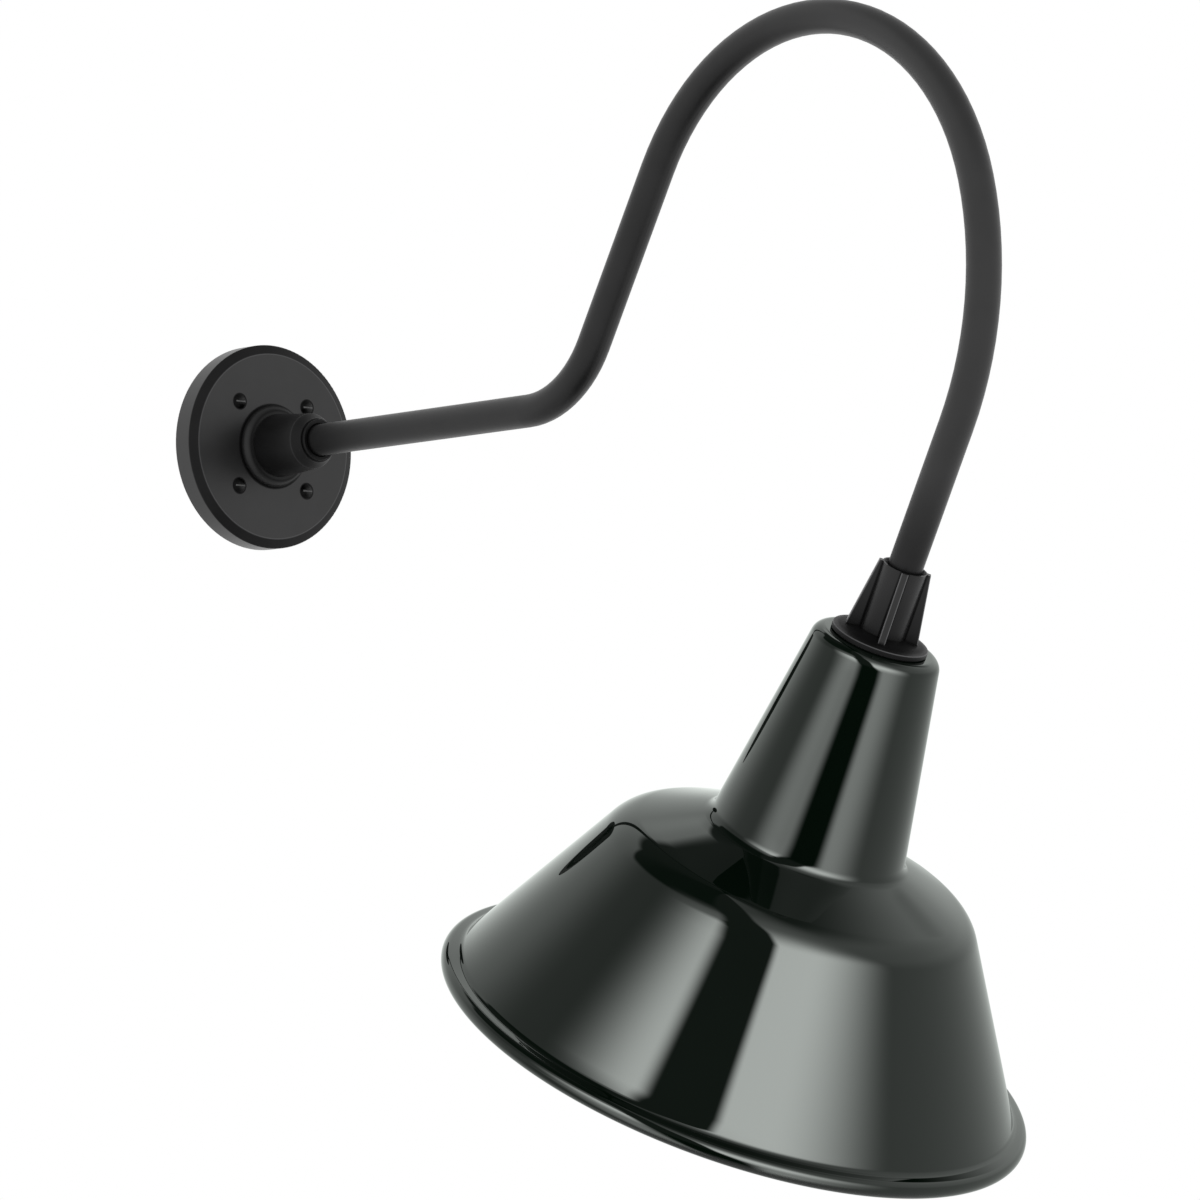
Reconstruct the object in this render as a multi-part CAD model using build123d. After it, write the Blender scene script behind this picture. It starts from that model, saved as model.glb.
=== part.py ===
"""Wall-mounted barn light: a cast canopy, a bent tube arm, a finned fitter and a spun shade.

The origin is the middle of the canopy's back, on the wall.  +Z is up and -Y points out of the
wall.  The arm bends in the plane X = 0, and its drop run is the axis of the fitter, the shade
and the lampholder.  Sizes are in millimetres and angles in degrees.
"""
import os
from math import cos, radians, sin

from build123d import *

# Canopy: a dish with a bevelled edge, and a long hub on a rounded base ring
canopy_radius = 76.2
canopy_side = 15.9
canopy_depth = 19.0
canopy_face_radius = 69.2
canopy_edge_round = 1.0
canopy_wall = 3.2
base_ring_radius = 30.6
base_ring_height = 7.4
base_ring_round = 6.8
hub_radius = 23.6
hub_reach = 71.4
hub_bevel = 1.4
hub_land_radius = 19.5
hub_land_rise = 1.6
hub_lip_radius = 15.2
hub_lip_rise = 2.6
hub_lip_round = 0.9
hub_core_radius = 18.0
hub_core_draft = 1.5
hub_stop_reach = 46.0
hub_stop_thick = 2.0
mouth_bevel = 0.9

# Canopy rim and its foam gasket
rim_width = 6.4
rim_step_depth = 4.5
groove_edge_width = 1.8
groove_width = 3.0
gasket_thick = 1.6

# Canopy screws on the circle of a round wall box
screw_circle_radius = 44.45
screw_count = 4
screw_radius = 2.4
screw_shank_radius = 2.15
screw_clearance = 0.3
screw_tail_length = 12.0
screw_head_radius = 5.5
screw_head_rise = 3.0
screw_boss_radius = 6.2
screw_boss_drop = 3.5
slot_width = 1.3
slot_depth = 1.3

# Ground connection inside the canopy
ground_offset = 48.0
ground_boss_radius = 5.5
ground_boss_drop = 5.0
ground_screw_radius = 2.0
ground_screw_grip = 4.0
ground_head_radius = 4.4
ground_head_thick = 2.6
ground_washer_radius = 5.2
ground_washer_thick = 0.8
ground_lead_step = 13.0

# Set screws
set_screw_radius = 2.5
set_screw_clearance = 0.1
set_screw_key = 1.25
set_screw_key_depth = 2.0
canopy_set_screw_reach = 58.0
canopy_set_screw_length = 8.0
fitter_set_screw_drop = 14.0
fitter_set_screw_length = 3.2
fitter_set_screw_angle = 4.5

# Arm: one bent tube
tube_radius = 11.7
tube_wall = 1.5
slip_clearance = 0.1
shank_end = 314.5
shank_bend_radius = 81.9
rise_angle = 59.6
rise_length = 133.2
crown_radius = 170.6
crown_turn = 135.1
drop_bend_radius = 220.2
shade_tilt = 28.4
drop_length = 101.0

# Fitter: round body, tapered fins, base disc and a spigot through the shade
fitter_body_radius = 15.3
fitter_socket_depth = 26.0
fitter_passage_radius = 8.5
fitter_mouth_bevel = 1.8
fin_count = 4
fin_thick = 4.8
fin_top_radius = 17.7
fin_foot_radius = 25.1
fin_height = 48.8
fin_edge_round = 0.6
fin_turn = 49.5
disc_radius = 33.0
disc_top_drop = 49.6
disc_centre_drop = 46.4
disc_thick = 3.2
disc_edge_round = 0.8
spigot_radius = 21.0
spigot_length = 14.5

# Shade: spun sheet steel
sheet = 1.2
shade_gasket_radius = 31.0
shade_gasket_thick = 0.8
shade_hole_clearance = 0.3
neck_top_radius = 43.3
neck_top_round = 8.2
neck_base_radius = 67.4
neck_height = 144.5
neck_base_round = 9.5
shoulder_radius = 123.3
shoulder_drop = 22.4
shoulder_round = 36.2
rim_radius = 194.7
rim_drop = 291.4
rim_cove = 6.4
rim_flange = 6.7
rim_slope = 9.5
bead_radius = 6.1
bead_open_angle = 58.0
ring_nut_radius = 28.0
ring_nut_thick = 5.0
ring_nut_notches = 6
notch_width = 5.0
notch_depth = 2.5

# Lampholder: ceramic body, medium screw shell and its connections
socket_height = 52.0
socket_top_radius = 23.0
socket_top_height = 11.0
socket_radius = 21.2
socket_mouth_radius = 20.0
socket_edge_round = 1.6
socket_recess_radius = 13.5
socket_recess_depth = 9.0
socket_web = 8.0
shell_bore_radius = 13.4
shell_sheet = 0.6
shell_length = 27.0
shell_collar_radius = 11.4
shell_collar_height = 8.0
shell_floor_hole = 6.2
shell_seat_clearance = 0.4
contact_width = 6.0
contact_sheet = 0.6
contact_foot = 4.6
contact_rise = 7.0
rivet_radius = 1.5
rivet_head_radius = 1.9
rivet_head_rise = 0.9
terminal_sheet = 1.0
terminal_width = 6.4
terminal_screw_radius = 1.6
terminal_screw_head = 2.5
terminal_screw_rise = 2.0
terminal_screw_grip = 3.5
socket_screw_radius = 1.7
socket_screw_clearance = 0.25
socket_screw_offset = 17.7
socket_screw_head = 2.9
socket_screw_head_rise = 2.2
socket_screw_grip = 9.0

# Leads inside the arm and the connectors on their ends
lead_radius = 1.15
lead_offset = 5.2
lead_bend_radius = 7.0
lead_height = 8.0
lead_terminal_gap = 0.2
connector_offset = 34.0
connector_length = 21.0
connector_mouth_radius = 5.0
connector_tip_radius = 3.2
connector_bore_clearance = 0.4
connector_bore_depth = 8.0

cut_overrun = 1.0


def turned(section, rounds):
    """A solid of revolution from its half section, a list of (radius, height) corners.

    rounds gives the radius of each rounded corner by its number in the list.
    """
    radii = [rounds.get(corner, 0) for corner in range(len(section))]
    outline = FilletPolyline(*section, radius=radii, close=True)
    return revolve(make_face(Plane.XZ * outline), Axis.Z)


def rod(radius, low, high, x=0, y=0):
    """A round rod or drill along local Z, from low to high."""
    upright = Cylinder(radius, high - low, align=(Align.CENTER, Align.CENTER, Align.MIN))
    return Pos(x, y, low) * upright


def ring(outer, inner, low, high):
    """A flat ring about local Z."""
    return rod(outer, low, high) - rod(inner, low - cut_overrun, high + cut_overrun)


def round_the_axis(shape, count, first_angle=0):
    """Copies of a shape, evenly spaced about local Z."""
    return [Rot(0, 0, first_angle + 360 * copy / count) * shape for copy in range(count)]


def fused(shapes):
    """The shapes joined into one."""
    whole = shapes[0]
    for shape in shapes[1:]:
        whole = whole + shape
    return whole


# The wall frame has its Z out of the wall and its Y up
wall = Plane(origin=(0, 0, 0), x_dir=(1, 0, 0), z_dir=(0, -1, 0))
bend_plane = Plane(origin=(0, 0, 0), x_dir=(0, -1, 0), z_dir=(-1, 0, 0))


def arm_route(first_reach, past_mouth, aside=0):
    """The arm's centre line, or a line beside it, past the fitter's mouth by past_mouth."""
    shank = Line((first_reach, 0), (shank_end, 0))
    bend = JernArc(shank @ 1, shank % 1, shank_bend_radius, rise_angle)
    rise = PolarLine(bend @ 1, rise_length, direction=bend % 1)
    crown = JernArc(rise @ 1, rise % 1, crown_radius, -crown_turn)
    drop_turn = rise_angle + 90 + shade_tilt - crown_turn
    drop_bend = JernArc(crown @ 1, crown % 1, drop_bend_radius, -drop_turn)
    drop = PolarLine(drop_bend @ 1, drop_length + past_mouth, direction=drop_bend % 1)
    edges = [bend_plane * edge for edge in (shank, bend, rise, crown, drop_bend, drop)]
    return [Pos(aside, 0, 0) * edge for edge in edges]


def swept(section, edges):
    """A section swept along edges that follow each other without a corner."""
    path = Wire(edges)
    return sweep(Plane(origin=path @ 0, z_dir=path % 0) * section, path=path)


# The drop frame has its origin in the middle of the fitter's mouth and its Z up the shade's axis
arm_line = arm_route(hub_stop_reach, 0)
drop = Plane(origin=arm_line[-1] @ 1, x_dir=(1, 0, 0), z_dir=-(arm_line[-1] % 1))

tube_bore = tube_radius + slip_clearance
disc_foot = -disc_top_drop - disc_thick
shade_top = disc_foot - shade_gasket_thick
spigot_foot = disc_foot - spigot_length
recess_floor = spigot_foot - socket_recess_depth
socket_floor = recess_floor - socket_web
socket_foot = spigot_foot - socket_height


def canopy():
    """Cast dish with its hub, cored from behind, drilled for its screws and the set screw."""
    tube_seat = hub_stop_reach + hub_stop_thick
    land = hub_reach + hub_land_rise
    lip = land + hub_lip_rise
    ring_top = canopy_depth + base_ring_height
    plate = canopy_depth - canopy_wall
    rim_inside = canopy_radius - rim_width
    body = turned(
        [
            (rim_inside, 0),
            (canopy_radius, 0),
            (canopy_radius, canopy_side),
            (canopy_face_radius, canopy_depth),
            (base_ring_radius, canopy_depth),
            (base_ring_radius, ring_top),
            (hub_radius, ring_top),
            (hub_radius, hub_reach - hub_bevel),
            (hub_radius - hub_bevel, hub_reach),
            (hub_land_radius, hub_reach),
            (hub_land_radius, land),
            (hub_lip_radius, land),
            (hub_lip_radius, lip),
            (tube_bore + mouth_bevel, lip),
            (tube_bore, lip - mouth_bevel),
            (tube_bore, tube_seat),
            (tube_radius - tube_wall, tube_seat),
            (tube_radius - tube_wall, hub_stop_reach),
            (hub_core_radius, hub_stop_reach),
            (hub_core_radius + hub_core_draft, plate),
            (canopy_face_radius - canopy_wall, plate),
            (canopy_radius - canopy_wall, canopy_side - canopy_wall),
            (canopy_radius - canopy_wall, rim_step_depth),
            (rim_inside, rim_step_depth),
        ],
        {2: canopy_edge_round, 3: canopy_edge_round, 5: base_ring_round, 12: hub_lip_round},
    )
    boss = rod(screw_boss_radius, plate - screw_boss_drop, plate + canopy_wall / 2, screw_circle_radius)
    drill = rod(screw_radius + screw_clearance, 0, canopy_depth + cut_overrun, screw_circle_radius)
    body = fused([body] + round_the_axis(boss, screw_count, 45))
    ground_face = plate - ground_boss_drop
    body = body + rod(ground_boss_radius, ground_face, plate + canopy_wall / 2, 0, -ground_offset)
    for hole in round_the_axis(drill, screw_count, 45):
        body = body - hole
    ground_hole = ground_face + ground_screw_grip + screw_clearance
    body = body - rod(ground_screw_radius, ground_face - cut_overrun, ground_hole, 0, -ground_offset)
    body = body - groove_ring(gasket_thick)
    return body - sideways_drill(canopy_set_screw_reach, hub_radius, 0)


def groove_ring(depth):
    """The ring that fills the groove in the canopy's back rim."""
    outer = canopy_radius - groove_edge_width
    return ring(outer, outer - groove_width, 0, depth)


def sideways_drill(height, reach, angle):
    """The drill for a set screw, from the axis out through a hub."""
    bit = Rot(0, 90, 0) * rod(set_screw_radius + set_screw_clearance, tube_radius, reach + cut_overrun)
    return Rot(0, 0, angle) * (Pos(0, 0, height) * bit)


def set_screw(height, length, angle):
    """A headless screw with a hexagon key socket, its point against the tube."""
    body = rod(set_screw_radius, tube_radius, tube_radius + length)
    key = Pos(0, 0, tube_radius + length - set_screw_key_depth) * extrude(
        RegularPolygon(set_screw_key, 6), set_screw_key_depth + cut_overrun
    )
    return Rot(0, 0, angle) * (Pos(0, 0, height) * (Rot(0, 90, 0) * (body - key)))


def canopy_screw():
    """One slotted dome-head screw on the canopy's face, its threaded tail out behind the wall's plane."""
    tail = rod(screw_radius, -screw_tail_length, 0)
    shank = tail + rod(screw_shank_radius, 0, canopy_depth + cut_overrun)
    dome_radius = (screw_head_radius**2 + screw_head_rise**2) / (2 * screw_head_rise)
    dome = Pos(0, 0, canopy_depth + screw_head_rise - dome_radius) * Sphere(dome_radius)
    head = dome & rod(screw_head_radius, canopy_depth, canopy_depth + screw_head_rise)
    slot = Pos(0, 0, canopy_depth + screw_head_rise) * Box(
        2 * screw_head_radius + cut_overrun, slot_width, 2 * slot_depth
    )
    return shank + head - slot


def canopy_screws():
    """The four canopy screws, their slots level."""
    solids = []
    for copy in range(screw_count):
        angle = radians(45 + 360 * copy / screw_count)
        place = Pos(screw_circle_radius * cos(angle), screw_circle_radius * sin(angle), 0)
        solids.append(place * canopy_screw())
    return solids


def ground_screw():
    """Hexagon washer-head screw in the boss inside the canopy."""
    face = canopy_depth - canopy_wall - ground_boss_drop
    shank = rod(ground_screw_radius, face - ground_washer_thick, face + ground_screw_grip)
    washer = rod(ground_washer_radius, face - ground_washer_thick, face)
    hexagon = Pos(0, 0, face - ground_washer_thick - ground_head_thick) * extrude(
        RegularPolygon(ground_head_radius, 6), ground_head_thick
    )
    return Pos(0, -ground_offset, 0) * (shank + washer + hexagon)


def connector():
    """One wire connector: a tapered cap with a bore for the lead, its mouth at local zero."""
    cone = turned(
        [
            (0, 0),
            (connector_mouth_radius, 0),
            (connector_tip_radius, connector_length),
            (0, connector_length),
        ],
        {2: connector_tip_radius / 2},
    )
    return cone - rod(lead_radius + connector_bore_clearance, -cut_overrun, connector_bore_depth)


def wire_connectors():
    """Three connectors in the canopy: on the line, neutral and ground leads."""
    along_x = Rot(0, 90, 0) * connector()
    line = Pos(connector_offset, 0, lead_height) * along_x
    neutral = Rot(0, 0, 180) * line
    ground = Pos(lead_bend_radius + lead_radius, -ground_offset - ground_lead_step, lead_height) * along_x
    return [line, neutral, ground]


def ground_lead():
    """From the ground screw's washer round to its connector."""
    x_end = lead_bend_radius + lead_radius + connector_bore_depth
    y_start = -ground_offset - ground_washer_radius
    y_end = -ground_offset - ground_lead_step
    points = [(0, y_start, lead_height), (0, y_end, lead_height), (x_end, y_end, lead_height)]
    edges = FilletPolyline(*points, radius=[lead_bend_radius]).edges()
    return swept(Circle(lead_radius), edges)


def supply_lead(side):
    """A lead from its connector through the arm to its terminal.

    side is 1 for the line lead and -1 for the neutral lead.
    """
    aside = side * lead_offset
    start = side * (connector_offset + connector_bore_depth)
    meet = lead_height + 2 * lead_bend_radius
    corners = [(start, -lead_height, 0), (aside, -lead_height, 0), (aside, -meet, 0)]
    entry = FilletPolyline(*corners, radius=[lead_bend_radius]).edges()
    terminal_top = recess_floor + terminal_sheet + lead_terminal_gap
    return swept(Circle(lead_radius), list(entry) + arm_route(meet, -terminal_top, aside))


def arm():
    """The bent tube, from its stop in the canopy's hub to its stop in the fitter."""
    section = Circle(tube_radius) - Circle(tube_radius - tube_wall)
    return swept(section, arm_route(hub_stop_reach + hub_stop_thick, fitter_socket_depth))


def fin():
    """One tapered fin of the fitter, with its outer edges rounded."""
    root = fitter_body_radius - fin_thick / 2
    outline = Polyline(
        (root, 0), (fin_top_radius, 0), (fin_foot_radius, -fin_height), (root, -fin_height), close=True
    )
    plate = extrude(make_face(Plane.XZ * outline), fin_thick / 2, both=True)
    nearest = fin_top_radius - fin_edge_round
    outer = plate.edges().filter_by(lambda edge: min(v.X for v in edge.vertices()) >= nearest)
    sloped = [edge for edge in outer if edge.length > fin_height / 2]
    return fillet(sloped, fin_edge_round)


def fitter():
    """Cast hub: body, fins and disc over a spigot that passes through the shade."""
    body = turned(
        [
            (tube_bore + fitter_mouth_bevel, 0),
            (fitter_body_radius, 0),
            (fitter_body_radius, -disc_centre_drop),
            (disc_radius, -disc_top_drop),
            (disc_radius, disc_foot),
            (spigot_radius, disc_foot),
            (spigot_radius, spigot_foot),
            (fitter_passage_radius, spigot_foot),
            (fitter_passage_radius, -fitter_socket_depth),
            (tube_bore, -fitter_socket_depth),
            (tube_bore, -fitter_mouth_bevel),
        ],
        {3: disc_edge_round},
    )
    body = fused([body] + round_the_axis(fin(), fin_count, fin_turn))
    for hole in socket_screw_drills(spigot_foot + socket_screw_grip):
        body = body - hole
    return body - sideways_drill(-fitter_set_screw_drop, fitter_body_radius, fitter_set_screw_angle)


def shade():
    """Spun shell: flat top, tapered neck, rounded shoulder, straight flare and a rolled rim.

    The line runs in the middle of the sheet.  At the rim it turns out through a cove into a short
    flange, and rolls over, down and back in under it.
    """
    half = sheet / 2
    hole = spigot_radius + shade_hole_clearance
    neck_foot = shade_top - neck_height
    rim = shade_top - rim_drop
    flange_reach = rim_flange * cos(radians(rim_slope))
    flange_fall = rim_flange * sin(radians(rim_slope))
    walls = FilletPolyline(
        (hole, shade_top - half),
        (neck_top_radius - half, shade_top - half),
        (neck_base_radius - half, neck_foot - half),
        (shoulder_radius, neck_foot - shoulder_drop),
        (rim_radius, rim),
        (rim_radius + flange_reach, rim - flange_fall),
        radius=[neck_top_round - half, neck_base_round + half, shoulder_round - half, rim_cove + half],
    )
    bead = JernArc(walls @ 1, walls % 1, bead_radius - half, bead_open_angle - 360)
    section = trace(Curve() + [walls, bead], line_width=sheet)
    return revolve(Plane.XZ * section, Axis.Z)


def shade_gasket():
    """Flat ring between the fitter's disc and the shade."""
    return ring(shade_gasket_radius, spigot_radius + shade_hole_clearance, shade_top, disc_foot)


def shade_ring_nut():
    """Notched ring nut on the spigot, tight against the shade's top from inside."""
    top = shade_top - sheet
    nut = ring(ring_nut_radius, spigot_radius + slip_clearance, top - ring_nut_thick, top)
    notch = Pos(ring_nut_radius, 0, top - ring_nut_thick / 2) * Box(
        2 * notch_depth, notch_width, ring_nut_thick + cut_overrun
    )
    for cut in round_the_axis(notch, ring_nut_notches):
        nut = nut - cut
    return nut


def socket_screw_drills(high):
    """Clearance drills for the two lampholder screws, up to a height in the spigot."""
    drill = rod(socket_screw_radius + socket_screw_clearance, socket_foot, high, 0, socket_screw_offset)
    return round_the_axis(drill, 2)


def socket_body():
    """Ceramic body: a recess for the terminals on top and the shell's cavity below."""
    cavity = shell_bore_radius + shell_sheet + shell_seat_clearance
    step = spigot_foot - socket_top_height
    body = turned(
        [
            (0, recess_floor),
            (socket_recess_radius, recess_floor),
            (socket_recess_radius, spigot_foot),
            (socket_top_radius, spigot_foot),
            (socket_top_radius, step),
            (socket_radius, step),
            (socket_radius, socket_foot + socket_height / 4),
            (socket_mouth_radius, socket_foot),
            (cavity, socket_foot),
            (cavity, socket_floor),
            (0, socket_floor),
        ],
        {4: socket_edge_round / 2, 7: socket_edge_round},
    )
    for hole in socket_screw_drills(spigot_foot + cut_overrun):
        body = body - hole
    head = rod(
        socket_screw_head + socket_screw_clearance,
        socket_foot - cut_overrun,
        socket_foot + socket_screw_head_rise,
        0,
        socket_screw_offset,
    )
    for hole in round_the_axis(head, 2):
        body = body - hole
    for x, y in (line_rivet, neutral_rivet):
        drill = rod(rivet_radius, socket_floor - cut_overrun, recess_floor + cut_overrun, x, y)
        body = body - drill
    low = recess_floor - terminal_screw_grip
    for x, y in (line_screw, neutral_screw):
        body = body - rod(terminal_screw_radius, low, recess_floor + cut_overrun, x, y)
    return body


# Places on the lampholder's web, across the axis: rivets, terminal screws and plates
lead_gap = lead_radius + lead_terminal_gap
line_rivet = (0, 0)
line_screw = (lead_offset + lead_gap + terminal_screw_head, 0)
neutral_rivet = (-shell_floor_hole - rivet_head_radius - lead_terminal_gap, -terminal_screw_head)
neutral_screw = (-lead_offset - lead_gap - terminal_screw_head / 2, terminal_screw_head + lead_radius)


def screw_shell():
    """Drawn shell: a threaded bore under a narrower collar, its holed floor seated on the web."""
    outer = shell_bore_radius + shell_sheet
    floor_low = socket_floor - shell_sheet
    collar_foot = socket_floor - shell_collar_height
    shell = turned(
        [
            (shell_floor_hole, socket_floor),
            (shell_collar_radius + shell_sheet, socket_floor),
            (shell_collar_radius + shell_sheet, collar_foot),
            (outer, collar_foot),
            (outer, socket_floor - shell_length),
            (shell_bore_radius, socket_floor - shell_length),
            (shell_bore_radius, collar_foot - shell_sheet),
            (shell_collar_radius, collar_foot - shell_sheet),
            (shell_collar_radius, floor_low),
            (shell_floor_hole, floor_low),
        ],
        {3: shell_sheet},
    )
    x, y = neutral_rivet
    return shell - rod(rivet_radius, floor_low - cut_overrun, socket_floor + cut_overrun, x, y)


def centre_contact():
    """Bent brass strip: its foot on the web and its spring end down in the shell."""
    half = contact_sheet / 2
    line = FilletPolyline(
        (-contact_foot, socket_floor - half),
        (contact_foot, socket_floor - half),
        (-contact_foot / 2, socket_floor - contact_rise),
        (contact_foot / 2, socket_floor - contact_rise),
        radius=[2 * contact_sheet, 2 * contact_sheet],
    )
    strip = extrude(Plane.XZ * trace(line, line_width=contact_sheet), contact_width / 2, both=True)
    return strip - rod(rivet_radius, socket_floor - contact_rise / 2, socket_floor + cut_overrun)


def rivet(place, head_drop):
    """One rivet through the web, a terminal and a contact, with a head on each end."""
    x, y = place
    top = recess_floor + terminal_sheet
    low = socket_floor - head_drop
    shank = rod(rivet_radius, low, top, x, y)
    top_head = rod(rivet_head_radius, top, top + rivet_head_rise, x, y)
    return shank + top_head + rod(rivet_head_radius, low - rivet_head_rise / 2, low, x, y)


def contact_rivets():
    """The rivets of the centre contact and of the screw shell."""
    return [rivet(line_rivet, contact_sheet), rivet(neutral_rivet, shell_sheet)]


def terminal(low_corner, high_corner, holes):
    """A flat terminal plate on the recess's floor, between two corners."""
    (x0, y0), (x1, y1) = low_corner, high_corner
    plate = Pos((x0 + x1) / 2, (y0 + y1) / 2, recess_floor + terminal_sheet / 2) * Box(
        x1 - x0, y1 - y0, terminal_sheet
    )
    for (x, y), radius in holes:
        plate = plate - rod(radius, recess_floor - cut_overrun, recess_floor + 2 * cut_overrun, x, y)
    return plate


def line_terminal():
    """Plate from the centre rivet to the line screw."""
    half = terminal_width / 2
    holes = [(line_rivet, rivet_radius), (line_screw, terminal_screw_radius)]
    return terminal((-rivet_head_radius, -half), (line_screw[0] + terminal_screw_head, half), holes)


def neutral_terminal():
    """Plate from the shell's rivet to the neutral screw, clear of the line plate."""
    low = (neutral_rivet[0] - rivet_head_radius, neutral_rivet[1] - rivet_head_radius)
    high = (-lead_offset + lead_radius, neutral_screw[1] + terminal_screw_head)
    holes = [(neutral_rivet, rivet_radius), (neutral_screw, terminal_screw_radius)]
    return terminal(low, high, holes)


def terminal_screw(place):
    """Slotted screw through a terminal into the web."""
    x, y = place
    seat = recess_floor + terminal_sheet
    shank = rod(terminal_screw_radius, recess_floor - terminal_screw_grip, seat, x, y)
    head = rod(terminal_screw_head, seat, seat + terminal_screw_rise, x, y)
    slot = Pos(x, y, seat + terminal_screw_rise) * Box(
        2 * terminal_screw_head + cut_overrun, terminal_sheet, terminal_screw_rise
    )
    return shank + head - slot


def socket_screws():
    """Two long screws up through the lampholder into the fitter's spigot."""
    seat = socket_foot + socket_screw_head_rise
    top = spigot_foot + socket_screw_grip
    shank = rod(socket_screw_radius, seat, top, 0, socket_screw_offset)
    head = rod(socket_screw_head, socket_foot, seat, 0, socket_screw_offset)
    slot = Pos(0, socket_screw_offset, socket_foot) * Box(
        2 * socket_screw_head + cut_overrun, terminal_sheet, socket_screw_head_rise
    )
    return round_the_axis(shank + head - slot, 2)


def placed(shape, frame):
    """A node's solids, moved from their own frame to the object's."""
    solids = shape if isinstance(shape, list) else [shape]
    return [frame * solid for solid in solids]


world = Plane.XY
nodes = {
    "canopy": (canopy(), wall),
    "canopy_gasket": (groove_ring(gasket_thick), wall),
    "canopy_screws": (canopy_screws(), wall),
    "canopy_set_screw": (set_screw(canopy_set_screw_reach, canopy_set_screw_length, 0), wall),
    "ground_screw": (ground_screw(), wall),
    "ground_lead": (ground_lead(), wall),
    "wire_connectors": (wire_connectors(), wall),
    "arm": (arm(), world),
    "line_lead": (supply_lead(1), world),
    "neutral_lead": (supply_lead(-1), world),
    "fitter": (fitter(), drop),
    "fitter_set_screw": (
        set_screw(-fitter_set_screw_drop, fitter_set_screw_length, fitter_set_screw_angle),
        drop,
    ),
    "shade_gasket": (shade_gasket(), drop),
    "shade": (shade(), drop),
    "shade_ring_nut": (shade_ring_nut(), drop),
    "socket_body": (socket_body(), drop),
    "screw_shell": (screw_shell(), drop),
    "centre_contact": (centre_contact(), drop),
    "contact_rivets": (contact_rivets(), drop),
    "line_terminal": (line_terminal(), drop),
    "neutral_terminal": (neutral_terminal(), drop),
    "line_terminal_screw": (terminal_screw(line_screw), drop),
    "neutral_terminal_screw": (terminal_screw(neutral_screw), drop),
    "socket_screws": (socket_screws(), drop),
}

os.makedirs("parts", exist_ok=True)
for name, (shape, frame) in nodes.items():
    export_step(Compound(placed(shape, frame)), f"parts/{name}.step")
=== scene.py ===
"""The looks of a wall-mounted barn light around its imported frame.

Sizes are in metres and angles in degrees.  The arm bends in the plane X = 0, +Z is up and -Y points
out of the wall, as in the frame.
"""

import bpy
import numpy as np
from mathutils import Matrix, Vector


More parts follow.
